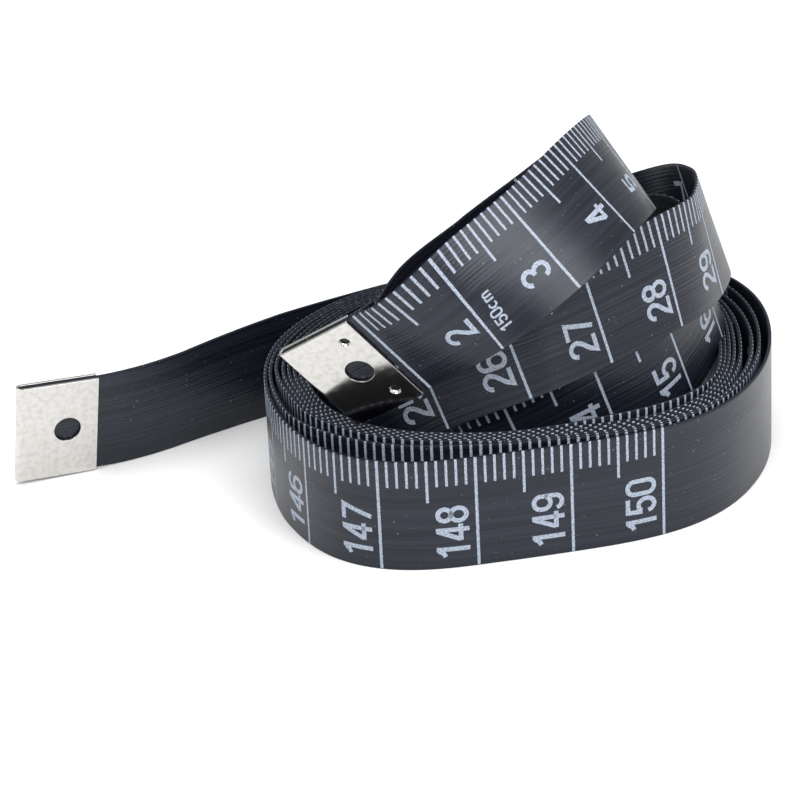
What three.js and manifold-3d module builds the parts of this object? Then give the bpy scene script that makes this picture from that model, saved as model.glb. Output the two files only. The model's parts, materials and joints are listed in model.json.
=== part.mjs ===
// A tailor's measuring tape: one coated ribbon, wound on edge into an oval coil, with a folded metal tip on each end.
// The ribbon's middle loops are pulled up out of the coil, and its far end leaves the coil as a free tail.
// Millimetres, +Z up, standing on its own edge on the plane z = 0. The scale side of the ribbon faces outwards.
import * as THREE from "three";
import { mergeVertices } from "three/addons/utils/BufferGeometryUtils.js";
import Module from "manifold-3d";

// Ribbon
const TAPE_WIDTH = 12.2;
const TAPE_THICKNESS = 0.35;
const SPLIT_GAP = 0.3; // between two lengths of ribbon that bend against each other

// Coil, seen from above: polar radius about the coil's centre, angles in degrees from +X
const MEAN_RADIUS = 27.6; // outermost turn
const OVAL_RISE = 2.65; // two-lobed departure from round
const OVAL_ANGLE = 37;
const CORNER_RISE = 1.0; // four-lobed departure, which squares the corners
const CORNER_ANGLE = -39;
const COIL_TURNS = 7.9;
const TURN_GAP = 0.52; // clear space between neighbouring turns
const STAND_OFF = 2.2; // how far the outermost turn stands clear of the rest at the front
const STAND_OFF_ANGLE = -118;
const STAND_OFF_SPREAD = 55; // to each side of that angle
const STAND_OFF_TURNS = [0.8, 1.2]; // the turns inwards over which it sets in
const STEPS_PER_TURN = 48;

// Outermost turn and tail, which unroll
const TAIL_ANGLE = 124; // where the tail leaves the coil
const UNROLL_ANGLE = -50; // where the unrolling stretch starts
const UNROLL_LENGTHS = 5;
const TAIL_BENDS = [ // [length along the ribbon, degrees it turns over it, degrees its top edge leans in over it]
  [14, 4.6, 3.1],
  [14.2, 6.1, 7.5],
  [10.5, -17, 2.5],
];
const STEPS_PER_BEND = 4;

// Folded metal tips
const TIP_LENGTH = 9.1;
const TIP_METAL = 0.3;
const TIP_CLEARANCE = 0.1; // between the ribbon and each leaf
const TIP_HOLE = 3.0;
const TIP_HOLE_PLACE = 5.7; // from the fold
const TIP_FOLD_STEPS = 8;
const TIP_HOLE_STEPS = 24;

// Raised inner loops, from the first tip inwards to the coil: the ribbon's lower edge at about every centimetre as
// [angle, distance inside the coil's inner wall, height in ribbon widths, lean of the width to -X, lean to +Y]
const LOOPS = [
  [-137.1, -1.9, 1.03, 67, 2],
  [-113, -3.3, 1.48, 65, 6],
  [-94.5, -6.9, 1.94, 59, 12],
  [-75, -5, 2.35, 50, 16],
  [-50.5, 0.6, 2.54, 42, 19],
  [-16.5, 5.2, 2.4, 35, 19],
  [20.5, 8.2, 2, 31, 14],
  [52.5, 9.5, 1.5, 28, 5],
  [87, 6.2, 1.03, 24, -6],
  [127.5, 5.4, 0.66, 18, -14],
  [164.5, 5.3, 0.34, 13, -18],
  [197, 6.2, 0.09, 9, -18],
  [232.5, 8.1, 0.05, 9, -16],
  [272.5, 4.6, 0.27, 10, -13],
  [307.5, 3.3, 0.56, 12, -8],
  [335.5, 1.5, 0.82, 14, -4],
  [363.5, 0.8, 1.07, 16, 1],
  [389, 1.8, 0.94, 17, 5],
  [416.5, 4.4, 0.64, 16, 6],
  [448.5, 2.8, 0.37, 12, 0],
  [484, 2.4, 0.17, 3, 0],
  [515.5, 2.2, 0.06, 0, 0],
  [543, 1.2, 0.04, 0, 0],
  [565.5, 1.45, 0.18, 2, 12],
  [585, 1.3, 0.52, 15, 20],
  [605.5, 1.6, 0.92, 13, 20],
  [631, -0.8, 1.21, 12, 15],
  [661.5, 1.05, 1.34, 12, 14],
  [691.5, 1, 1.43, 10, 12],
  [716, -0.9, 1.39, 10, 10],
  [739, -2, 1.41, 17, 13],
  [762.5, 0.5, 1.09, 15, 18],
  [787.5, 2.4, 0.66, 15, 6],
  [817, 2.2, 0.18, 8, 0],
  [849, 1.2, 0.02, 0, 0],
];
const LOOP_POINT_SPACING = 10;
const STEPS_PER_LOOP_POINT = 4;
const LEAD_SPLITS = [3.9, 5.3]; // where the lead hinges, counted in points of that list

const COATING = { color: 0x26272c, roughness: 0.5, metalness: 0 };
const NICKEL = { color: 0xc9c6bf, roughness: 0.25, metalness: 1 };

const rad = THREE.MathUtils.degToRad;
const UP = new THREE.Vector3(0, 0, 1);
const TURN_PITCH = TAPE_THICKNESS + TURN_GAP;

// The coil

// Departure of the second and later turns from the outermost one, at an angle in degrees.
function standOff(angle) {
  const away = Math.abs(THREE.MathUtils.euclideanModulo(angle - STAND_OFF_ANGLE + 180, 360) - 180);
  return away < STAND_OFF_SPREAD ? (STAND_OFF / 2) * (1 + Math.cos((Math.PI * away) / STAND_OFF_SPREAD)) : 0;
}

// Radius of the ribbon's middle, a number of turns inwards from where the tail leaves.
function coilRadius(turns) {
  const angle = TAIL_ANGLE - 360 * turns;
  const oval = OVAL_RISE * Math.cos(2 * rad(angle - OVAL_ANGLE));
  const corners = CORNER_RISE * Math.cos(4 * rad(angle - CORNER_ANGLE));
  const inner = THREE.MathUtils.smoothstep(turns, ...STAND_OFF_TURNS);
  return MEAN_RADIUS + oval + corners - TURN_PITCH * turns - inner * standOff(angle);
}

function onCoil(turns) {
  const angle = rad(TAIL_ANGLE - 360 * turns);
  const r = coilRadius(turns);
  return new THREE.Vector3(r * Math.cos(angle), r * Math.sin(angle), 0);
}

// A station is the ribbon's lower edge, its direction of travel, its width direction and its outward normal.
function station(point, along, widthHint) {
  const width = widthHint.clone().addScaledVector(along, -widthHint.dot(along)).normalize();
  const normal = new THREE.Vector3().crossVectors(along, width);
  return { point, along, width, normal };
}

function coilStation(turns) {
  const small = 1e-4;
  const along = onCoil(turns - small).sub(onCoil(turns + small)).normalize();
  return station(onCoil(turns), along, UP);
}

function turnsAt(angle) {
  return (TAIL_ANGLE - angle) / 360;
}

// Stations from one place on the coil out to another, both given in turns.
function coilStations(from, to) {
  const steps = Math.max(2, Math.ceil((from - to) * STEPS_PER_TURN));
  return Array.from({ length: steps + 1 }, (_, i) => coilStation(from + ((to - from) * i) / steps));
}

// The raised inner loops

function innerWall(angle) {
  const turns = COIL_TURNS - 1 + THREE.MathUtils.euclideanModulo(turnsAt(angle) - COIL_TURNS, 1);
  return coilRadius(turns);
}

const loopPoints = LOOPS.map(([angle, inset, rise]) => {
  const r = innerWall(angle) - inset;
  return new THREE.Vector3(r * Math.cos(rad(angle)), r * Math.sin(rad(angle)), rise * TAPE_WIDTH);
});
const loopHints = LOOPS.map(
  ([, , , left, back]) => new THREE.Vector3(-Math.tan(rad(left)), Math.tan(rad(back)), 1),
);
// The loops run into the coil: its first point ends them, and the next one sets their direction there.
loopPoints.push(onCoil(COIL_TURNS), onCoil(COIL_TURNS - LOOP_POINT_SPACING / (2 * Math.PI * MEAN_RADIUS)));
loopHints.push(UP, UP);
const LOOPS_END = LOOPS.length;

// Uniform Catmull-Rom value among rows, at a place counted in points.
function through(rows, place) {
  const i = Math.min(Math.floor(place), rows.length - 2);
  const at = (k) => rows[THREE.MathUtils.clamp(k, 0, rows.length - 1)];
  const ends = (k, inner, next) => (k < 0 || k >= rows.length ? at(inner).clone().multiplyScalar(2).sub(at(next)) : at(k));
  const [a, b, c, d] = [ends(i - 1, 0, 1), at(i), at(i + 1), ends(i + 2, rows.length - 1, rows.length - 2)];
  const u = place - i;
  const weights = [
    -0.5 * u + u * u - 0.5 * u ** 3,
    1 - 2.5 * u * u + 1.5 * u ** 3,
    0.5 * u + 2 * u * u - 1.5 * u ** 3,
    -0.5 * u * u + 0.5 * u ** 3,
  ];
  return [a, b, c, d].reduce((sum, row, k) => sum.addScaledVector(row, weights[k]), new THREE.Vector3());
}

function loopStation(place) {
  const small = 1e-3;
  const last = loopPoints.length - 1;
  const ahead = through(loopPoints, Math.min(place + small, last));
  const along = ahead.sub(through(loopPoints, Math.max(place - small, 0))).normalize();
  return station(through(loopPoints, place), along, through(loopHints, place));
}

function loopStations(from, to) {
  const steps = Math.max(2, Math.ceil((to - from) * STEPS_PER_LOOP_POINT));
  return Array.from({ length: steps + 1 }, (_, i) => loopStation(from + ((to - from) * i) / steps));
}

// From a place on the loops to their end, which stands upright on the coil's own first station.
function loopStationsToCoil(from) {
  return [...loopStations(from, LOOPS_END).slice(0, -1), coilStation(COIL_TURNS)];
}

// The tail: a chain of gentle bends on from the coil, then straight into its tip

// The station carried on along an arc about its own width and leaned in, with its outer corner kept off the floor.
function carriedOn(from, length, turn, lean) {
  const chord = from.along.clone().applyAxisAngle(from.width, rad(turn / 2));
  const along = from.along.clone().applyAxisAngle(from.width, rad(turn));
  const width = from.width.clone().applyAxisAngle(along, -rad(lean));
  const next = station(from.point.clone().addScaledVector(chord, length), along, width);
  next.point.z = Math.max(next.point.z, (TAPE_THICKNESS / 2) * Math.abs(next.normal.z));
  return next;
}

const tail = [];
let tailEnd = coilStation(0);
for (const [length, turn, lean] of TAIL_BENDS) {
  const bend = [tailEnd];
  for (let i = 0; i < STEPS_PER_BEND; i++) {
    bend.push(carriedOn(bend.at(-1), length / STEPS_PER_BEND, turn / STEPS_PER_BEND, lean / STEPS_PER_BEND));
  }
  tail.push(bend);
  tailEnd = bend.at(-1);
}

// Solids

// A closed ribbon through stations, with its ends pulled back by half a split where it meets another length.
function ribbon(stations, trimStart, trimEnd) {
  const rows = stations.map((s) => ({ ...s, point: s.point.clone() }));
  rows[0].point.addScaledVector(rows[0].along, trimStart);
  rows.at(-1).point.addScaledVector(rows.at(-1).along, -trimEnd);
  const vertices = [];
  for (const { point, width, normal } of rows) {
    for (const [across, out] of [[0, 0.5], [1, 0.5], [1, -0.5], [0, -0.5]]) {
      const corner = point.clone().addScaledVector(width, across * TAPE_WIDTH);
      vertices.push(...corner.addScaledVector(normal, out * TAPE_THICKNESS).toArray());
    }
  }
  const faces = [0, 1, 2, 0, 2, 3];
  for (let i = 0; i < rows.length - 1; i++) {
    for (let k = 0; k < 4; k++) {
      const [a, b] = [4 * i + k, 4 * i + ((k + 1) % 4)];
      faces.push(a, a + 4, b + 4, a, b + 4, b);
    }
  }
  const end = 4 * (rows.length - 1);
  faces.push(end, end + 2, end + 1, end, end + 3, end + 2);
  const geometry = new THREE.BufferGeometry();
  geometry.setAttribute("position", new THREE.Float32BufferAttribute(vertices, 3));
  geometry.setIndex(faces);
  return geometry;
}

const wasm = await Module();
wasm.setup();

function solidOf(geometry) {
  geometry.deleteAttribute("normal");
  geometry.deleteAttribute("uv");
  const merged = mergeVertices(geometry, 1e-4);
  const vertProperties = merged.attributes.position.array;
  return new wasm.Manifold(new wasm.Mesh({ numProp: 3, vertProperties, triVerts: merged.index.array }));
}

function geometryOf(solid) {
  const { vertProperties, triVerts } = solid.getMesh();
  const geometry = new THREE.BufferGeometry();
  geometry.setAttribute("position", new THREE.BufferAttribute(new Float32Array(vertProperties), 3));
  geometry.setIndex(new THREE.BufferAttribute(new Uint32Array(triVerts), 1));
  return geometry;
}

// A tip in its own frame: the fold at x = 0, the leaves running to +X, thickness along Y, the ribbon's width along Z.
function tipGeometry() {
  const inner = TAPE_THICKNESS / 2 + TIP_CLEARANCE;
  const outer = inner + TIP_METAL;
  const profile = new THREE.Shape();
  profile.moveTo(TIP_LENGTH, -outer);
  profile.lineTo(TIP_LENGTH, -inner);
  profile.lineTo(outer, -inner);
  profile.absarc(outer, 0, inner, -Math.PI / 2, Math.PI / 2, true);
  profile.lineTo(TIP_LENGTH, inner);
  profile.lineTo(TIP_LENGTH, outer);
  profile.lineTo(outer, outer);
  profile.absarc(outer, 0, outer, Math.PI / 2, -Math.PI / 2, false);
  const folded = new THREE.ExtrudeGeometry(profile, {
    depth: TAPE_WIDTH,
    bevelEnabled: false,
    curveSegments: TIP_FOLD_STEPS,
  });
  const drill = new THREE.CylinderGeometry(TIP_HOLE / 2, TIP_HOLE / 2, 4 * outer, TIP_HOLE_STEPS);
  drill.translate(TIP_HOLE_PLACE, 0, TAPE_WIDTH / 2);
  return geometryOf(solidOf(folded).subtract(solidOf(drill)));
}

// The part

const measure = new THREE.Group();

function addRibbon(name, stations, trimStart, trimEnd) {
  const mesh = new THREE.Mesh(ribbon(stations, trimStart, trimEnd), new THREE.MeshStandardMaterial(COATING));
  mesh.name = name;
  mesh.userData.hinge = { point: stations[0].point.toArray(), axis: stations[0].width.toArray() };
  measure.add(mesh);
  return mesh;
}

// A tip whose fold is at a place, with its leaves running along the ribbon.
function addTip(name, fold, along, width) {
  const mesh = new THREE.Mesh(tipGeometry(), new THREE.MeshStandardMaterial(NICKEL));
  const thickness = new THREE.Vector3().crossVectors(width, along);
  mesh.applyMatrix4(new THREE.Matrix4().makeBasis(along, thickness, width).setPosition(fold));
  mesh.name = name;
  measure.add(mesh);
}

const halfSplit = SPLIT_GAP / 2;
const insideFold = TIP_METAL + TIP_CLEARANCE;

addRibbon("tape_coil", coilStations(COIL_TURNS, turnsAt(UNROLL_ANGLE)), halfSplit, halfSplit);

// The lead runs straight through its tip, then bends over the raised loops.
const [leadBend, leadRoot] = LEAD_SPLITS;
const tipPlace = TIP_LENGTH / loopPoints[0].distanceTo(loopPoints[1]);
const leadTip = loopStation(tipPlace);
const straightPoint = (distance) => leadTip.point.clone().addScaledVector(leadTip.along, distance - TIP_LENGTH);
const leadStart = { ...leadTip, point: straightPoint(insideFold) };
addRibbon("tape_lead_1", loopStations(leadBend, leadRoot), halfSplit, halfSplit);
addRibbon("tape_lead_2", [leadStart, ...loopStations(tipPlace, leadBend)], 0, halfSplit);
addTip("tip_start", straightPoint(0), leadTip.along, leadTip.width);
addRibbon("tape_inner_loops", loopStationsToCoil(leadRoot), halfSplit, halfSplit);

const unrollStart = turnsAt(UNROLL_ANGLE);
for (let i = 0; i < UNROLL_LENGTHS; i++) {
  const from = unrollStart * (1 - i / UNROLL_LENGTHS);
  const to = unrollStart * (1 - (i + 1) / UNROLL_LENGTHS);
  addRibbon(`tape_turn_${i + 1}`, coilStations(from, to), halfSplit, halfSplit);
}
const tailTipReach = tailEnd.point.clone().addScaledVector(tailEnd.along, TIP_LENGTH - insideFold);
addRibbon("tape_tail_1", tail[0], halfSplit, halfSplit);
addRibbon("tape_tail_2", [...tail.slice(1).flat(), { ...tailEnd, point: tailTipReach }], halfSplit, 0);
const tailFold = tailEnd.point.clone().addScaledVector(tailEnd.along, TIP_LENGTH);
addTip("tip_end", tailFold, tailEnd.along.clone().negate(), tailEnd.width);

// The least clear gap of the ribbon to itself, measured from points across its width to every other stretch of it.
const SHARES = [0, 0.25, 0.5, 0.75, 1];
const NEXT_TURN = 30; // stretches closer than this along the ribbon are the same bend

function leastGap(stations) {
  const lines = SHARES.map((share) => stations.map((s) => s.point.clone().addScaledVector(s.width, share * TAPE_WIDTH)));
  const travel = [0];
  for (let i = 1; i < stations.length; i++) {
    travel.push(travel[i - 1] + stations[i].point.distanceTo(stations[i - 1].point));
  }
  const stretch = new THREE.Line3();
  const nearest = new THREE.Vector3();
  let least = Infinity;
  for (const points of lines) {
    points.forEach((point, i) => {
      for (const others of lines) {
        for (let j = 0; j < others.length - 1; j++) {
          if (Math.abs(travel[j] - travel[i]) < NEXT_TURN || Math.abs(travel[j + 1] - travel[i]) < NEXT_TURN) continue;
          stretch.set(others[j], others[j + 1]).closestPointToPoint(point, true, nearest);
          least = Math.min(least, nearest.distanceTo(point));
        }
      }
    });
  }
  return least - TAPE_THICKNESS;
}

const wholeRibbon = [
  ...loopStationsToCoil(tipPlace),
  ...coilStations(COIL_TURNS, 0),
  ...tail.flat(),
];
console.log(`least gap of the ribbon to itself: ${leastGap(wholeRibbon).toFixed(2)} mm`);

// The origin is under the middle of the part's box.
const box = new THREE.Box3().setFromObject(measure, true);
const middle = box.getCenter(new THREE.Vector3());
measure.position.set(-middle.x, -middle.y, -box.min.z);

const part = new THREE.Group();
part.add(measure);
export default part;
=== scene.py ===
"""A tailor's measuring tape, wound on edge with its inner loops pulled up.

Blender 4.5, in the CAD part's frame.
"""
import json
from math import cos, pi, radians, sin

import bmesh
import bpy
import numpy as np
from mathutils import Matrix, Quaternion, Vector

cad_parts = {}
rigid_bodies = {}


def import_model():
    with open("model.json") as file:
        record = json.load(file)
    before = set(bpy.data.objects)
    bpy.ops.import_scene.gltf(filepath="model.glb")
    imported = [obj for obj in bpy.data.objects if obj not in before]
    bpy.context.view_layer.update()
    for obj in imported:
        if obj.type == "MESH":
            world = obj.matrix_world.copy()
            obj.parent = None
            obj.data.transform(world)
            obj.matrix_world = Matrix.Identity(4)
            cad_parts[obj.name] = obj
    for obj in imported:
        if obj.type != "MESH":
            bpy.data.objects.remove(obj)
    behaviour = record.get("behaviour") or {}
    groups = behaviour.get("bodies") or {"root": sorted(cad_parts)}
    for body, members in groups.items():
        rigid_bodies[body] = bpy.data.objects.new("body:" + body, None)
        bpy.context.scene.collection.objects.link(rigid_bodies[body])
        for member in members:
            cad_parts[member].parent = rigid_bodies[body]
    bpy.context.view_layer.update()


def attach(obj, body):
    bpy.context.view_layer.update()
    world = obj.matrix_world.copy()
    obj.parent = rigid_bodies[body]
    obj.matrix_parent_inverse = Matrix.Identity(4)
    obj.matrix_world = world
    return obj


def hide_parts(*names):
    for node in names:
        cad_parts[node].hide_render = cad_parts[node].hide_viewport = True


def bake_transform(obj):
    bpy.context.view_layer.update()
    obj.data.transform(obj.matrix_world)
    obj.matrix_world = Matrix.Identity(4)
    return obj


for leftover in list(bpy.data.objects):
    bpy.data.objects.remove(leftover)
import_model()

# Camera: a long lens that looks down on the coil by 24 degrees, slightly rolled. It is fitted to the printed
# centimetre lines on the outer turn.
CAMERA_PLACE = (0.00078, -0.3194, 0.1495)
LOOK_DOWN = 24.07
ROLL = -2.93

camera = bpy.data.objects.new("camera", bpy.data.cameras.new("camera"))
camera.data.lens = 144
camera.data.sensor_width = 36
camera.matrix_world = (
    Matrix.Translation(CAMERA_PLACE)
    @ Matrix.Rotation(radians(90 - LOOK_DOWN), 4, "X")
    @ Matrix.Rotation(radians(ROLL), 4, "Z")
)
bpy.context.scene.collection.objects.link(camera)
bpy.context.scene.camera = camera

# The ribbon's run: one length of coated ribbon, from the zero tip down the raised loops, round the coil and
# out along the tail. Everything on it is laid out flat, in millimetres along, across and off its middle, and
# then wrapped.
MM = 0.001
COIL_CENTRE = np.array([14.09, -0.206, 0.0])
TAPE_WIDTH = 12.2
TAPE_THICKNESS = 0.35
TIP_LENGTH = 9.1
STATION_STEP = 0.7

# The coil seen from above: angles about its centre in degrees from +X, turns counted inwards from the tail
TAIL_ANGLE = 124
MEAN_RADIUS = 27.6
LOBES = ((2, 2.65, 37), (4, 1.0, -39))  # (how many, rise, angle of one peak): oval, with squarer corners
COIL_BULGES = ((1.15, -123, 26), (0.9, -60, 40), (0.8, -185, 32))  # (rise, angle, spread to each side)
COIL_TURNS = 7.75
TURN_PITCH = 0.7616
TURN_STEPS = 700  # points in each turn
# How the wound turns stand apart or lie closer, as
# (angle, spread to each side, extra distance inside each turn in order)
COIL_SPACING = (
    (-150, 32, (0.45, 1.1, -0.25, -0.15, -0.15, -0.15)),
    (-122, 32, (3.4, 0.75, -0.31, -0.31, -0.31, -0.31, -0.31)),
    (-95, 32, (1.3, -0.29, -0.29, -0.29, -0.29, -0.29, -0.29)),
    (-54, 34, (0, 0, 0, 0, 0, 0, 1.5)),
    (55, 65, (0.9, 1.3, -0.35, -0.3, -0.25, -0.25, -0.25)),
    (5, 65, (0.4, 0, 0.55, -0.05, -0.2, -0.25, -0.3)),
    (190, 65, (-0.3, -0.2, 0, -0.15, -0.15, -0.15, -0.4)),
    (122, 60, (-0.37, -0.25, -0.35, -0.3, -0.3, -0.3, -0.3)),
    (-45, 52, (0, -0.35, -0.4, -0.3, -0.25, -0.25, -0.25)),
)
SPACING_EASE = 0.2  # turns, to each side of the half turn where an extra distance sets in

# The CAD coil's even pitch and smaller gap, which the loops are measured from
CAD_TURNS = 7.9
CAD_PITCH = 0.87
CAD_GAP = (2.2, -118, 55)

# The raised loops: the ribbon's lower edge at about every centimetre, as
# (angle, distance inside the coil's inner wall, height in ribbon widths, lean of the width to -X, lean to +Y)
LOOPS = np.array([
    (-134.5, -3.15, 1.05, 68.5, 1),
    (-113, -3.5, 1.51, 68, 2.5),
    (-94, -7.3, 1.97, 59.5, 12),
    (-75, -5, 2.35, 50, 16),
    (-50.5, 0.6, 2.54, 42, 19),
    (-16.5, 5.2, 2.4, 35, 19),
    (20.5, 8.2, 2, 31, 14),
    (52.5, 9.5, 1.5, 28, 5),
    (87, 6.2, 1.03, 24, -6),
    (127.5, 5.4, 0.66, 18, -14),
    (164.5, 5.3, 0.34, 13, -18),
    (197, 6.2, 0.09, 9, -18),
    (232.5, 8.1, 0.05, 9, -16),
    (264.5, 4.6, 0.22, 11.5, -16),
    (304.5, 2.15, 0.53, 12, -0.5),
    (328, 0.6, 0.73, 10.5, 7),
    (364, -0.95, 0.98, 14.5, -2),
    (385.5, 0.75, 1.13, 21, 6),
    (414, 3.5, 0.74, 16, 1.5),
    (448.5, 1.1, 0.37, 12, -2),
    (484, -0.65, 0.16, 3, -0.5),
    (515.5, 0, 0.06, 0, 0),
    (543, -1.3, 0.05, 0, 0),
    (564.5, 0.5, 0.19, 1.5, 12.5),
    (584, 1.3, 0.54, 14, 21.5),
    (605, 1.85, 0.91, 13, 21),
    (633, -0.55, 1.22, 11, 15),
    (654.5, 1.25, 1.31, 11.5, 10.5),
    (690, 1.3, 1.45, 13, 7.5),
    (714.5, -0.5, 1.43, 9, 11),
    (738, -2, 1.41, 18.5, 9),
    (760.5, -0.2, 1.13, 14.5, 19),
    (789, 0.75, 0.69, 12, 5),
    (817, -0.4, 0.25, 3, 0),
    (849, -1.9, 0.06, 0, 0),
    (880, -1.4, 0, 0, 0),
    (908, -2.3, 0, 0, 0),
])
PLACE_STEP = 0.02  # between points, in rows of LOOPS
ROW_TURNS = 0.058  # about a centimetre along the coil, in turns
# The tail's bends, as (length, degrees it turns, degrees it leans in)
TAIL_BENDS = ((14, 4.6, 3.1), (14.2, 6.1, 7.5), (10.5, -17, 2.5))
TAIL_STEPS = 20  # in each bend
TAIL_AIM = 0.001  # the turns of coil that give the tail its first direction


def smoothstep(low, high, x):
    t = np.clip((x - low) / (high - low), 0, 1)
    return t * t * (3 - 2 * t)


def swell(angle, middle, spread):
    """A smooth rise from 0 to 1 and back, that far to each side of its middle."""
    away = np.abs((angle - middle + 180) % 360 - 180)
    return np.where(away < spread, (1 + np.cos(pi * away / spread)) / 2, 0)


def outline(angle):
    return MEAN_RADIUS + sum(rise * np.cos(np.radians(n * (angle - peak))) for n, rise, peak in LOBES)


def polar(angle, radius, height):
    a = np.radians(angle)
    return np.stack([radius * np.cos(a), radius * np.sin(a), height], axis=-1)


def on_coil(turns):
    angle = TAIL_ANGLE - 360 * turns
    radius = outline(angle) - TURN_PITCH * turns
    for rise, middle, spread in COIL_BULGES:
        radius = radius + rise * swell(angle, middle, spread)
    for middle, spread, distances in COIL_SPACING:
        inset = 0
        for turn, distance in enumerate(distances):
            step = (TAIL_ANGLE - middle) / 360 % 1 + turn + 0.5
            inset = inset + distance * smoothstep(step - SPACING_EASE, step + SPACING_EASE, turns)
        radius = radius - inset * swell(angle, middle, spread)
    return polar(angle, radius, 0 * turns)


def loop_wall(angle):
    turns = CAD_TURNS - 1 + ((TAIL_ANGLE - angle) / 360 - CAD_TURNS) % 1
    depth, middle, spread = CAD_GAP
    return outline(angle) - CAD_PITCH * turns - depth * swell(angle, middle, spread)


def through(rows, places):
    """Catmull-Rom values among rows, at places counted in rows."""
    rows = np.vstack([2 * rows[0] - rows[1], rows, 2 * rows[-1] - rows[-2]])
    i = np.minimum(places.astype(int), len(rows) - 4)
    u = (places - i)[:, None]
    a, b, c, d = (rows[i + k] for k in range(4))
    return b + u / 2 * (c - a + u * (2 * a - 5 * b + 4 * c - d + u * (3 * (b - c) + d - a)))


def unit(vectors):
    return vectors / np.linalg.norm(vectors, axis=-1, keepdims=True)


turn_list = np.arange(COIL_TURNS, 0, -1 / TURN_STEPS)
coil_points = on_coil(turn_list)
up = np.array([0.0, 0.0, 1.0])

angle, inset, rise, left, back = LOOPS.T
loop_rows = polar(angle, loop_wall(angle) - inset, rise * TAPE_WIDTH)
loop_leans = np.stack([-np.tan(np.radians(left)), np.tan(np.radians(back)), np.ones(len(LOOPS))], axis=-1)
loop_rows = np.vstack([loop_rows, on_coil(COIL_TURNS - np.array([0, ROW_TURNS]))])
loop_leans = np.vstack([loop_leans, up, up])
tip_place = TIP_LENGTH / np.linalg.norm(loop_rows[1] - loop_rows[0])
places = np.arange(tip_place, len(LOOPS), PLACE_STEP)
loop_points = through(loop_rows, places)
loop_hints = through(loop_leans, places)
lead_start = loop_points[0] - TIP_LENGTH * unit(loop_points[1] - loop_points[0])

tail_points = []
tail_hints = []
tail_root = on_coil(np.array(0.0))
point = Vector(tail_root)
width = Vector(up)
along = Vector(tail_root - on_coil(np.array(TAIL_AIM)))
along.normalize()
for length, turn, lean in TAIL_BENDS:
    for _ in range(TAIL_STEPS):
        tail_points.append(point.copy())
        tail_hints.append(width.copy())
        point += Quaternion(width, radians(turn / TAIL_STEPS / 2)) @ along * (length / TAIL_STEPS)
        along.rotate(Quaternion(width, radians(turn / TAIL_STEPS)))
        width.rotate(Quaternion(along, -radians(lean / TAIL_STEPS)))
        point.z = max(point.z, TAPE_THICKNESS / 2 * abs(along.cross(width).z))
tail_points += [point, point + along * TIP_LENGTH]
tail_hints += [width, width]

lower = np.vstack([lead_start, loop_points, coil_points, tail_points])
hint = np.vstack([loop_hints[0], loop_hints, np.tile(up, (len(coil_points), 1)), tail_hints])
travel = unit(np.gradient(lower, axis=0))
across = unit(hint - np.sum(hint * travel, axis=1, keepdims=True) * travel)
middle = lower + across * TAPE_WIDTH / 2
run = np.concatenate([[0], np.cumsum(np.linalg.norm(np.diff(middle, axis=0), axis=1))])
loop_run = run[1:1 + len(places)]
coil_run = run[1 + len(places):1 + len(places) + len(turn_list)]
RUN_END = run[-1]


def resampled(values, known, wanted):
    """Rows of values that are known at some places along the ribbon, at the wanted places."""
    return np.stack([np.interp(wanted, known, column) for column in values.T], axis=-1)


stations = np.linspace(0, RUN_END, round(RUN_END / STATION_STEP))
station_lower = resampled(lower, run, stations)
station_across = unit(resampled(across, run, stations))
station_middle = station_lower + station_across * TAPE_WIDTH / 2
station_off = unit(np.cross(np.gradient(station_middle, axis=0), station_across))


def on_run(points):
    """Places of (along, across, off the middle) points on the ribbon, in the part's frame."""
    guides = (station_lower, station_across, station_off)
    base, side, off = (resampled(values, stations, points[:, 0]) for values in guides)
    return (base + side * points[:, 1:2] + off * points[:, 2:3] + COIL_CENTRE) * MM


def at_angle(angle):
    return float(np.interp(-(TAIL_ANGLE - angle) / 360, -turn_list, coil_run))


def at_place(place):
    return float(np.interp(place, places, loop_run))


# Shading: one wrapped socket builds every procedural material. Arithmetic on it adds math nodes to its own
# tree, and it grows noise, ranges and colour mixes in the same way.
class Socket:
    def __init__(self, tree, socket):
        self.tree = tree
        self.socket = socket

    def node(self, kind, settings, sockets, output=0):
        made = self.tree.nodes.new(kind)
        for name, value in settings.items():
            setattr(made, name, value)
        for name, value in sockets.items():
            if isinstance(value, Socket):
                self.tree.links.new(value.socket, made.inputs[name])
            else:
                made.inputs[name].default_value = value
        return Socket(self.tree, made.outputs[output])

    def math(self, operation, a, b):
        return self.node("ShaderNodeMath", {"operation": operation}, {0: a, 1: b})

    def noise(self, scale, detail):
        sockets = {"Vector": self, "Scale": scale, "Detail": detail}
        return self.node("ShaderNodeTexNoise", {"noise_dimensions": "2D"}, sockets)

    def ranged(self, low, high):
        return self.node("ShaderNodeMapRange", {}, {0: self, 1: low, 2: high})

    def mixed(self, first, second):
        return self.node("ShaderNodeMix", {"data_type": "RGBA"}, {0: self, 6: first, 7: second}, 2)

    def __add__(self, other):
        return self.math("ADD", self, other)

    def __radd__(self, other):
        return self.math("ADD", other, self)

    def __sub__(self, other):
        return self.math("SUBTRACT", self, other)

    def __mul__(self, other):
        return self.math("MULTIPLY", self, other)

    def __rmul__(self, other):
        return self.math("MULTIPLY", other, self)


def new_material(name, constants):
    """A material, its shader, and a socket of its surface output to grow other nodes from."""
    made = bpy.data.materials.new(name)
    made.use_nodes = True
    shader = made.node_tree.nodes["Principled BSDF"]
    for key, value in constants.items():
        shader.inputs[key].default_value = value
    return made, shader, Socket(made.node_tree, shader.outputs[0])


def feed(shader, name, value):
    shader.id_data.links.new(value.socket, shader.inputs[name])


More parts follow.
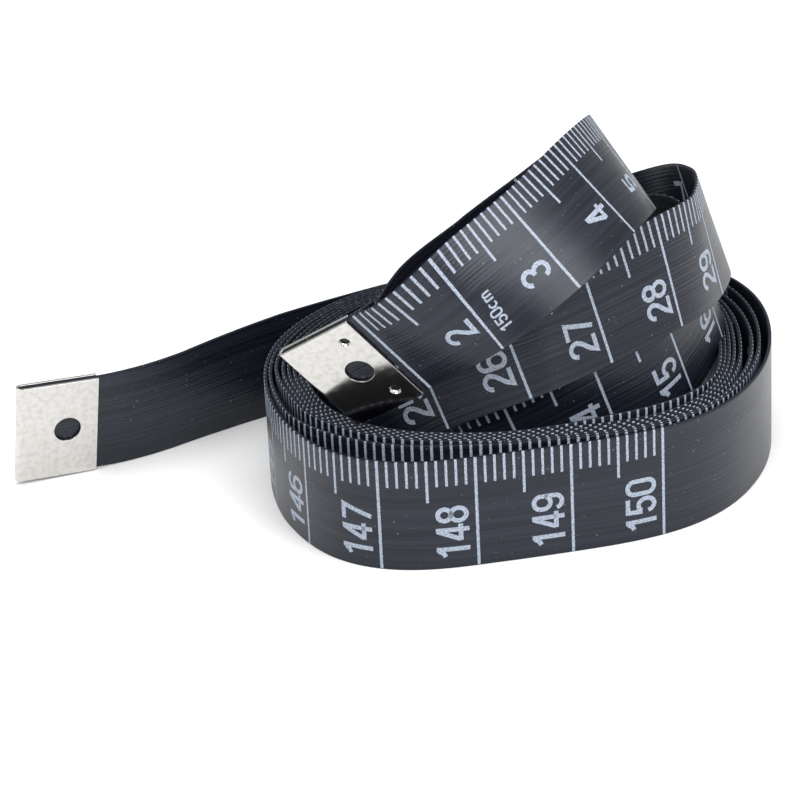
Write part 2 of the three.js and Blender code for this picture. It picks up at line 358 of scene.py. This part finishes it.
# Ribbon: a woven core in a black semi-gloss coating, ribbed lengthwise, with dust on it. It is one length,
# shown as lengths end to end, each in place of a piece of the CAD part.
RIB_PITCH = 0.42
RIB_WANDER = 0.15
WEAVE_ALONG = 0.02  # the weave's noise is drawn out lengthwise
WEAVE_ACROSS = 2.2
WEAVE_RELIEF = 1.5
RIB_RELIEF = 0.4
RELIEF_DEPTH = 0.00002
COATING_DARK = (0.004, 0.005, 0.0105, 1)
COATING_LIGHT = (0.0115, 0.0135, 0.0215, 1)
DUST_COLOUR = (0.3, 0.3, 0.32, 1)
DUST_COVER = 0.35
RIM_START = 0.1  # from the edge: the cut edge is rougher
RIM_FULL = 0.02
coating_shine = {"Specular IOR Level": 0.42, "Specular Tint": (0.88, 0.93, 1.0, 1.0)}
tape_black, shader, root = new_material("tape_coating", coating_shine)
flat = root.node("ShaderNodeUVMap", {"uv_map": "flat"}, {})
along_axis = root.node("ShaderNodeSeparateXYZ", {}, {0: flat}, 0)
across_axis = root.node("ShaderNodeSeparateXYZ", {}, {0: flat}, 1)
drift = flat.noise(0.12, 2.0)
weave_places = {0: along_axis * WEAVE_ALONG, 1: across_axis * WEAVE_ACROSS}
stretched = root.node("ShaderNodeCombineXYZ", {}, weave_places)
weave = stretched.noise(1.0, 2.0)
streak = weave.ranged(0.35, 0.65)
rib_phase = (across_axis + RIB_WANDER * drift) * (2 * pi / RIB_PITCH)
rib = root.node("ShaderNodeMath", {"operation": "SINE"}, {0: rib_phase})
relief = weave * (WEAVE_RELIEF + RIB_RELIEF * rib)
bump = root.node("ShaderNodeBump", {}, {"Strength": 1.0, "Distance": RELIEF_DEPTH, "Height": relief})
feed(shader, "Normal", bump)
speck = flat.noise(3.0, 0.0).ranged(0.885, 0.91)
coating = streak.mixed(COATING_DARK, COATING_LIGHT)
feed(shader, "Base Color", (speck * DUST_COVER).mixed(coating, DUST_COLOUR))
from_middle = root.node("ShaderNodeMath", {"operation": "ABSOLUTE"}, {0: across_axis - TAPE_WIDTH / 2})
rim = from_middle.ranged(TAPE_WIDTH / 2 - RIM_START, TAPE_WIDTH / 2 - RIM_FULL)
feed(shader, "Roughness", 0.3 + 0.1 * drift + 0.6 * rim)

ACROSS_ROWS = (0, 0.25, 3.2, TAPE_WIDTH / 2, TAPE_WIDTH - 3.2, TAPE_WIDTH - 0.25, TAPE_WIDTH)
EDGE_ROUND = 0.09
SHARP_ANGLE = radians(40)
CUT_CLEARANCE = 0.01  # of the nearest station from a length's end
SAME_PLACE = 1e-4  # points closer than this count as one


def flat_grid(bm, columns, rows):
    """A flat grid with its lines at those places, and its vertices."""
    made = bmesh.ops.create_grid(bm, x_segments=len(columns) - 1, y_segments=len(rows) - 1, size=0.5)["verts"]
    for v in made:
        column = round((v.co.x + 0.5) * (len(columns) - 1))
        row = round((v.co.y + 0.5) * (len(rows) - 1))
        v.co = (columns[column], rows[row], 0)
    return made


def wrapped(name, bm, lowest, material):
    """An object of a flat layout, wrapped on the ribbon.

    The lowest level in the half at the plain edge lies that far off the ribbon's middle.
    """
    bmesh.ops.recalc_face_normals(bm, faces=bm.faces)
    layer = bm.loops.layers.uv.new("flat")
    for face in bm.faces:
        for loop in face.loops:
            loop[layer].uv = loop.vert.co.xy
    mesh = bpy.data.meshes.new(name)
    bm.to_mesh(mesh)
    bm.free()
    points = np.empty(len(mesh.vertices) * 3, np.float32)
    mesh.vertices.foreach_get("co", points)
    points = points.reshape(-1, 3).astype(float)
    points[:, 2] += lowest - points[points[:, 1] < TAPE_WIDTH / 2, 2].min()
    mesh.vertices.foreach_set("co", on_run(points).astype(np.float32).ravel())
    mesh.polygons.foreach_set("use_smooth", np.ones(len(mesh.polygons), bool))
    mesh.set_sharp_from_angle(angle=SHARP_ANGLE)
    mesh.materials.append(material)
    made = bpy.data.objects.new(name, mesh)
    bpy.context.scene.collection.objects.link(made)
    return made


def ribbon(name, start, end):
    bm = bmesh.new()
    inside = stations[(stations > start + CUT_CLEARANCE) & (stations < end - CUT_CLEARANCE)]
    flat_grid(bm, [start, *inside, end], ACROSS_ROWS)
    bmesh.ops.solidify(bm, geom=bm.faces[:], thickness=TAPE_THICKNESS)
    long_edges = []
    for edge in bm.edges:
        first, second = edge.verts
        if edge.calc_face_angle(0) > 1 and abs(first.co.x - second.co.x) > SAME_PLACE:
            long_edges.append(edge)
    bmesh.ops.bevel(
        bm, geom=long_edges, offset=EDGE_ROUND, segments=2, profile=0.5, affect="EDGES", material=-1
    )
    return wrapped(name, bm, -TAPE_THICKNESS / 2, tape_black)


def bend(piece, hinge, reach):
    """Bakes the piece's placement into its mesh; the places a reach to each side of the hinge are worked out
    but not used.
    """
    start, end = on_run(np.array([[hinge - reach, TAPE_WIDTH / 2, 0], [hinge + reach, TAPE_WIDTH / 2, 0]]))
    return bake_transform(piece)


def hinged(name, before, after, node, start, end, hinge, reach):
    """A length of ribbon, with its start and end, in place of its hidden CAD node. The bodies before and
    after are not used.
    """
    piece = ribbon(name, start, end)
    bend(piece, hinge, reach)
    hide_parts(node)
    return piece, start, end


INSIDE_FOLD = 0.4  # the ribbon stops short of each end of the run, inside the tip's fold
LEAD_HINGES = (at_place(3.9), at_place(5.3))  # places counted in rows of LOOPS
LEAD_CUTS = (LEAD_HINGES[0] + 7, LEAD_HINGES[1] + 8)  # each length runs that far past its hinge
UNROLL_ANGLE = -50
UNROLL_REACHES = (3.8, 8, 8, 8, 8)  # of the bends, to each side of their hinges
UNROLL_SPAN = (TAIL_ANGLE - UNROLL_ANGLE) / len(UNROLL_REACHES)
WOUND_SHORT = 7.5  # degrees from the wound length's end to the first hinge
WOUND_END = at_angle(UNROLL_ANGLE - WOUND_SHORT)
TAIL_START = at_angle(TAIL_ANGLE)
TAIL_HINGE = TAIL_START + TAIL_BENDS[0][0]
TAIL_CUT = TAIL_START + TAIL_BENDS[0][0] / 2
TAIL_ROOT_BEND = TAIL_START + 4.6  # past its hinge
# (name, body before, body after, CAD node, start, end, hinge, reach of the bend to each side)
LEAD_LENGTHS = (
    ("lead_end", "lead_2", "lead_1", "tape_lead_2", INSIDE_FOLD, LEAD_CUTS[0], LEAD_HINGES[0], 6.5),
    ("lead_root", "lead_1", "coil", "tape_lead_1", LEAD_CUTS[0], LEAD_CUTS[1], LEAD_HINGES[1], 7),
)

lengths = [hinged("tape_" + name, *rest) for name, *rest in LEAD_LENGTHS]
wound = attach(ribbon("tape_wound", LEAD_CUTS[1], WOUND_END), "coil")
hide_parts("tape_coil", "tape_inner_loops")
lengths.append((wound, LEAD_CUTS[1], WOUND_END))
before = "coil"
start = WOUND_END
for i, reach in enumerate(UNROLL_REACHES):
    turn = f"turn_{i + 1}"
    hinge_angle = UNROLL_ANGLE + i * UNROLL_SPAN
    end = at_angle(hinge_angle + UNROLL_SPAN / 2)
    hinge = at_angle(hinge_angle)
    lengths.append(hinged(f"tape_unroll_{i + 1}", before, turn, "tape_" + turn, start, end, hinge, reach))
    before = turn
    start = end
for name, after, node, hinge, reach, end in (
    ("tape_tail_root", "tail_1", "tape_tail_1", TAIL_ROOT_BEND, 2.3, TAIL_CUT),
    ("tape_tail_end", "tail_2", "tape_tail_2", TAIL_HINGE, 6.5, RUN_END - INSIDE_FOLD),
):
    lengths.append(hinged(name, before, after, node, start, end, hinge, reach))
    before = after
    start = end
for piece, start, end in lengths:
    (end - start) * MM


# Scale: pale ink printed on the outward side, a line at every millimetre from the upper edge and a number at
# every centimetre, and a coarser scale counted from the far end on the reverse. It is a film of its own, so
# that it can be repainted.
INK_THIN = (0.185, 0.22, 0.28, 1)
INK_FULL = (0.345, 0.395, 0.48, 1)
ink, shader, root = new_material("scale_ink", {"Roughness": 0.55})
flat = root.node("ShaderNodeUVMap", {"uv_map": "flat"}, {})
cover = flat.noise(5.0, 1.0).ranged(0.3, 0.6)
feed(shader, "Base Color", cover.mixed(INK_THIN, INK_FULL))

INK_FILM = 0.018
INK_SUNK = 0.004  # the part of the film below the ribbon's surface
LINE_WIDTH = {1: 0.27, 5: 0.29, 10: 0.31}
LINE_LENGTH = {1: 2.9, 5: 4.6, 10: TAPE_WIDTH}
SCALE_START = 10
SCALE_END = 1500
LINE_FEET = (TAPE_WIDTH - LINE_LENGTH[5], TAPE_WIDTH - LINE_LENGTH[1])
LINE_ROWS = (0.1, 2.5, 5.0, *LINE_FEET, 10.8, TAPE_WIDTH - EDGE_ROUND)
OVER_EDGE = (TAPE_WIDTH - EDGE_ROUND * (1 - sin(pi / 4)), TAPE_WIDTH)  # ink that ran over the round edge
DIGIT_WIDTH = 1.95
DIGIT_HEIGHT = 3.45
DIGIT_STROKE = 0.49
DIGIT_PITCH = 2.08
NUMBER_MIDDLE = 4.0  # from the plain edge
BASELINE_BACK = 0.85  # from its line
STROKE_STEP = 0.4
MITRE_LEAST = 0.5  # keeps sharp corners from running out
ARC_STEPS = 12
LEFT = DIGIT_STROKE / 2
FOOT = DIGIT_STROKE / 2
RIGHT = DIGIT_WIDTH - LEFT
HEAD = DIGIT_HEIGHT - FOOT
CENTRE = DIGIT_WIDTH / 2
BOWL = CENTRE - LEFT
UPPER = HEAD - BOWL
LOWER = FOOT + BOWL


def arc(x, y, rx, ry, start, end):
    return [(x + rx * cos(a), y + ry * sin(a)) for a in np.radians(np.linspace(start, end, ARC_STEPS + 1))]


def bowl(y, rise, start, end):
    """An arc of the digit's full width."""
    return arc(CENTRE, y, BOWL, rise, start, end)


def upside_down(paths):
    return [[(DIGIT_WIDTH - x, DIGIT_HEIGHT - y) for x, y in path] for path in paths]


SIX = [bowl(LOWER + 0.28, BOWL, 0, 180) + bowl(LOWER, BOWL, 180, 360)]
SIX_BACK = [[(LEFT, LOWER)] + bowl(UPPER, BOWL, 180, 15)]
TWO_FOOT = [(1.45, 1.85), (0.6, 0.95), (LEFT, FOOT), (DIGIT_WIDTH, FOOT)]
ARCHES = [arc(LEFT + x, 1.55, 0.5, 0.55, 180, 0) + [(LEFT + (x + 0.5), 0)] for x in (0.5, 1.5)]
# Digits as middle lines of their strokes: (closed rings, open strokes)
DIGITS = {
    "0": ([bowl(UPPER, BOWL, 0, 180) + bowl(LOWER, BOWL, 180, 360)], []),
    "1": ([], [[(1.25, 0), (1.25, DIGIT_HEIGHT)], [(0.4, 2.55), (0.75, 2.7), (1.1, 3.2)]]),
    "2": ([], [bowl(UPPER, BOWL, 180, -10) + TWO_FOOT]),
    "3": ([], [bowl(HEAD - 0.7, 0.7, 170, -90), bowl(FOOT + 0.8, 0.8, 90, -170)]),
    "4": (
        [],
        [[(1.35, 0), (1.35, DIGIT_HEIGHT)], [(1.25, 3.3), (LEFT, 0.95)], [(0.1, 0.9), (DIGIT_WIDTH, 0.9)]],
    ),
    "5": ([], [[(RIGHT + 0.1, HEAD), (LEFT + 0.08, HEAD), (LEFT, 1.6)], bowl(FOOT + 0.9, 0.9, 140, -165)]),
    "6": (SIX, SIX_BACK),
    "7": ([], [[(0.05, HEAD), (RIGHT, HEAD), (0.75, 0)]]),
    "8": (
        [bowl(FOOT + 0.82, 0.82, 0, 360)[:-1], arc(CENTRE, HEAD - 0.68, BOWL - 0.06, 0.68, 0, 360)[:-1]],
        [],
    ),
    "9": (upside_down(SIX), upside_down(SIX_BACK)),
    "c": ([], [bowl(FOOT + 0.95, 0.95, 50, 310)]),
    "m": ([], [[(LEFT, 0), (LEFT, 2.3)], *ARCHES]),
}


def stroke(bm, path, closed):
    """A strip of ink along a path, mitred at its corners, in steps fine enough to bend with the ribbon."""
    path = np.array(path + path[:1] if closed else path, float)
    fine = [path[:1]]
    for a, b in zip(path[:-1], path[1:]):
        steps = max(1, round(np.linalg.norm(b - a) / STROKE_STEP))
        fine.append(a + (b - a) * (np.arange(1, steps + 1) / steps)[:, None])
    path = np.vstack(fine)
    step = unit(np.diff(path, axis=0))
    before = np.vstack([step[-1:] if closed else step[:1], step])
    after = np.vstack([step, step[:1] if closed else step[-1:]])
    mean = unit(before + after)
    reach = DIGIT_STROKE / 2 / np.maximum(np.sum(mean * after, axis=1), MITRE_LEAST)
    side = np.stack([-mean[:, 1], mean[:, 0]], axis=1) * reach[:, None]
    made = flat_grid(bm, range(len(path)), (-1, 1))
    for v in made:
        i = round(v.co.x)
        v.co.xy = path[i] + side[i] * v.co.y
    if closed:
        bmesh.ops.remove_doubles(bm, verts=made, dist=SAME_PLACE)


digit_meshes = {}
for sign, (rings, strokes) in DIGITS.items():
    bm = bmesh.new()
    for path in rings:
        stroke(bm, path, True)
    for path in strokes:
        stroke(bm, path, False)
    digit_meshes[sign] = bpy.data.meshes.new("digit_" + sign)
    bm.to_mesh(digit_meshes[sign])
    bm.free()


def write(bm, text, place):
    """Prints text into a flat layout, place turning its own x and y into along and across."""
    for i, sign in enumerate(text):
        where = place @ Matrix.Translation((i * DIGIT_PITCH, 0, 0))
        digit_meshes[sign].transform(where)
        bm.from_mesh(digit_meshes[sign])
        digit_meshes[sign].transform(where.inverted())


def upright_on(along, across, scale):
    """Text that runs across the ribbon from its plain edge, with its top towards the zero end."""
    return Matrix(((0, -scale, 0, along), (scale, 0, 0, across), (0, 0, 1, 0), (0, 0, 0, 1)))


def text_length(text):
    return (len(text) - 1) * DIGIT_PITCH + DIGIT_WIDTH


def inked(name, bm, lowest):
    """A film of ink from a flat layout, its lowest level that far off the ribbon's middle."""
    bm.normal_update()
    bmesh.ops.reverse_faces(bm, faces=[face for face in bm.faces if face.normal.z < 0])
    bmesh.ops.solidify(bm, geom=bm.faces[:], thickness=INK_FILM)
    return wrapped(name, bm, lowest, ink)


LENGTH_ALONG = 22.6  # the ribbon's whole length, in small print
LENGTH_ACROSS = 1.36
LENGTH_SCALE = 0.42


def front_print(name, start, end):
    bm = bmesh.new()
    marks = [k for k in range(SCALE_START, SCALE_END + 1) if start <= k < end]
    kinds = {k: next(n for n in (10, 5, 1) if k % n == 0) for k in marks}
    columns = [k + side * LINE_WIDTH[kinds[k]] for k in marks for side in (-0.5, 0.5)]
    flat_grid(bm, columns, LINE_ROWS + OVER_EDGE)
    for v in bm.verts:
        past = max(0, v.co.y - (TAPE_WIDTH - EDGE_ROUND))
        v.co.z = max(0, EDGE_ROUND ** 2 - past ** 2) ** 0.5 - EDGE_ROUND
    blank = []
    for face in bm.faces:
        middle = face.calc_center_median()
        k = round(middle.x)
        if abs(middle.x - k) > 0.1 or middle.y < TAPE_WIDTH - LINE_LENGTH[kinds[k]]:
            blank.append(face)
    bmesh.ops.delete(bm, geom=blank, context="FACES")
    for k in marks:
        if kinds[k] == 10:
            text = str(k // 10)
            write(bm, text, upright_on(k - BASELINE_BACK, NUMBER_MIDDLE - text_length(text) / 2, 1))
    if start < LENGTH_ALONG < end:
        write(bm, "150cm", upright_on(LENGTH_ALONG, LENGTH_ACROSS, LENGTH_SCALE))
    return inked(name, bm, TAPE_THICKNESS / 2 - INK_SUNK)


REVERSE_ZERO = 1497
REVERSE_STEP = 25.4
REVERSE_LINE = 0.34
REVERSE_SCALE = 1.1
REVERSE_FOOT = 6.4  # of its numbers, from the plain edge
REVERSE_SPACE = 0.45  # between a line and its number
REVERSE_NUMBERS = range(1, 60)


def reverse_print(name, start, end):
    bm = bmesh.new()
    for k in REVERSE_NUMBERS:
        line = REVERSE_ZERO - k * REVERSE_STEP
        if start <= line < end:
            flat_grid(bm, [line - REVERSE_LINE / 2, line + REVERSE_LINE / 2], LINE_ROWS)
            text = str(k) if k % 10 == 0 else str(k % 10)
            foot = line + REVERSE_SPACE + text_length(text) * REVERSE_SCALE
            turned = Matrix.Diagonal((-REVERSE_SCALE, REVERSE_SCALE, 1, 1))
            write(bm, text, Matrix.Translation((foot, REVERSE_FOOT, 0)) @ turned)
    return inked(name, bm, INK_SUNK - INK_FILM - TAPE_THICKNESS / 2)


SIDES = (("front", front_print), ("reverse", reverse_print))
for name, before, after, node, start, end, hinge, reach in LEAD_LENGTHS:
    for side, print_side in SIDES:
        bend(print_side(f"scale_{side}_{name}", start, end), hinge, reach)
for side, print_side in SIDES:
    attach(print_side(f"scale_{side}_wound", LEAD_CUTS[1], WOUND_END), "coil")

# Tips: bright plated sheet, folded over each end of the ribbon and crimped, with a hole through both leaves
# and two small punch marks in the outward one.
TIP_METAL = 0.3
TIP_CLEARANCE = 0.1
TIP_HOLE = 3.0
TIP_HOLE_PLACE = 5.7
PUNCH_FOOT = 0.25
PUNCH_TOP = 0.68
PUNCH_DEPTH = 0.6
PUNCH_ABOVE = 0.1  # of its depth, clear of the metal
PUNCH_PLACE = 7.1
PUNCH_EDGES = (2.1, 10.1)
TIP_FOLD_STEPS = 16
TIP_EDGE_ROUND = 0.07
DRILL_LENGTH = 4
NICKEL_BRIGHT = (0.62, 0.61, 0.59, 1)
NICKEL_DULL = (0.54, 0.525, 0.495, 1)
nickel, shader, root = new_material("tip_metal", {"Metallic": 1.0})
flat = root.node("ShaderNodeUVMap", {"uv_map": "flat"}, {})
mottle = flat.noise(1.6, 4.0).ranged(0.42, 0.68)
feed(shader, "Base Color", mottle.mixed(NICKEL_BRIGHT, NICKEL_DULL))
feed(shader, "Roughness", 0.12 + 0.05 * mottle)


def tip(name, body, node, start, direction):
    inner = TAPE_THICKNESS / 2 + TIP_CLEARANCE
    outer = inner + TIP_METAL
    fold = np.linspace(-pi / 2, pi / 2, TIP_FOLD_STEPS + 1)
    bend_line = [(outer - inner * cos(a), inner * sin(a)) for a in fold]
    leaf = [(TIP_LENGTH, -inner), *bend_line, (TIP_LENGTH, inner)]
    bm = bmesh.new()
    for v in flat_grid(bm, range(len(leaf)), (0, TAPE_WIDTH)):
        x, off = leaf[round(v.co.x)]
        v.co = (x, v.co.y, off)
    mesh = bpy.data.meshes.new(name)
    bm.to_mesh(mesh)
    bm.free()
    folded = bpy.data.objects.new(name, mesh)
    bpy.context.scene.collection.objects.link(folded)
    shell = folded.modifiers.new("shell", "SOLIDIFY")
    shell.thickness = TIP_METAL
    shell.offset = 1
    shell.use_even_offset = True
    cutter_mesh = bpy.data.meshes.new("drill")
    bm = bmesh.new()
    bmesh.ops.create_cone(
        bm, cap_ends=True, segments=48, radius1=TIP_HOLE / 2, radius2=TIP_HOLE / 2, depth=DRILL_LENGTH,
        matrix=Matrix.Translation((TIP_HOLE_PLACE, TAPE_WIDTH / 2, 0)),
    )
    for across in PUNCH_EDGES:
        bmesh.ops.create_cone(
            bm, cap_ends=True, segments=32, radius1=PUNCH_FOOT, radius2=PUNCH_TOP, depth=PUNCH_DEPTH,
            matrix=Matrix.Translation((PUNCH_PLACE, across, outer + PUNCH_ABOVE - PUNCH_DEPTH / 2)),
        )
    bm.to_mesh(cutter_mesh)
    bm.free()
    cutter = bpy.data.objects.new("drill", cutter_mesh)
    bpy.context.scene.collection.objects.link(cutter)
    cut = folded.modifiers.new("hole", "BOOLEAN")
    cut.object = cutter
    cut.operation = "DIFFERENCE"
    cut.solver = "EXACT"
    rounded = folded.modifiers.new("edges", "BEVEL")
    rounded.width = TIP_EDGE_ROUND
    rounded.segments = 3
    rounded.limit_method = "ANGLE"
    rounded.angle_limit = SHARP_ANGLE
    depsgraph = bpy.context.evaluated_depsgraph_get()
    shaped = bpy.data.meshes.new_from_object(folded.evaluated_get(depsgraph))
    bpy.data.objects.remove(folded)
    bpy.data.objects.remove(cutter)
    bm = bmesh.new()
    bm.from_mesh(shaped)
    for v in bm.verts:
        v.co.x = start + direction * v.co.x
    if direction < 0:
        bmesh.ops.reverse_faces(bm, faces=bm.faces)
    made = wrapped(name, bm, -outer, nickel)
    flatter = made.modifiers.new("flat_faces", "WEIGHTED_NORMAL")
    flatter.keep_sharp = True
    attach(made, body)
    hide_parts(node)
    return made


tip("tip_zero", "lead_2", "tip_start", 0, 1)
tip("tip_far", "tail_2", "tip_end", RUN_END, -1)

# Floor and light: a white table that runs out of view, in white surroundings, under soft light from the right
# front, the left front and above.
floor_look = {"Base Color": (0.92, 0.92, 0.92, 1), "Roughness": 1.0, "Specular IOR Level": 0.0}
floor_white = new_material("floor", floor_look)[0]
bm = bmesh.new()
bmesh.ops.create_grid(bm, x_segments=1, y_segments=1, size=3)
floor_mesh = bpy.data.meshes.new("floor")
bm.to_mesh(floor_mesh)
bm.free()
floor_mesh.materials.append(floor_white)
floor = bpy.data.objects.new("floor", floor_mesh)
bpy.context.scene.collection.objects.link(floor)

world = bpy.data.worlds.new("studio")
bpy.context.scene.world = world
world.use_nodes = True
background = world.node_tree.nodes["Background"]
background.inputs["Color"].default_value = (1, 1, 1, 1)
background.inputs["Strength"].default_value = 0.57

for name, place, size, power in (
    ("key", (0.4, -0.36, 0.44), 0.4, 3),
    ("fill", (-0.27, -0.46, 0.45), 0.4, 2),
    ("top", (0.05, 0.1, 0.9), 0.8, 4.2),
):
    lamp = bpy.data.lights.new(name, "AREA")
    lamp.size = size
    lamp.energy = power
    holder = bpy.data.objects.new(name, lamp)
    aim = (-Vector(place)).to_track_quat("-Z", "Y")
    holder.matrix_world = Matrix.Translation(place) @ aim.to_matrix().to_4x4()
    bpy.context.scene.collection.objects.link(holder)
bpy.context.scene.view_settings.view_transform = "Standard"
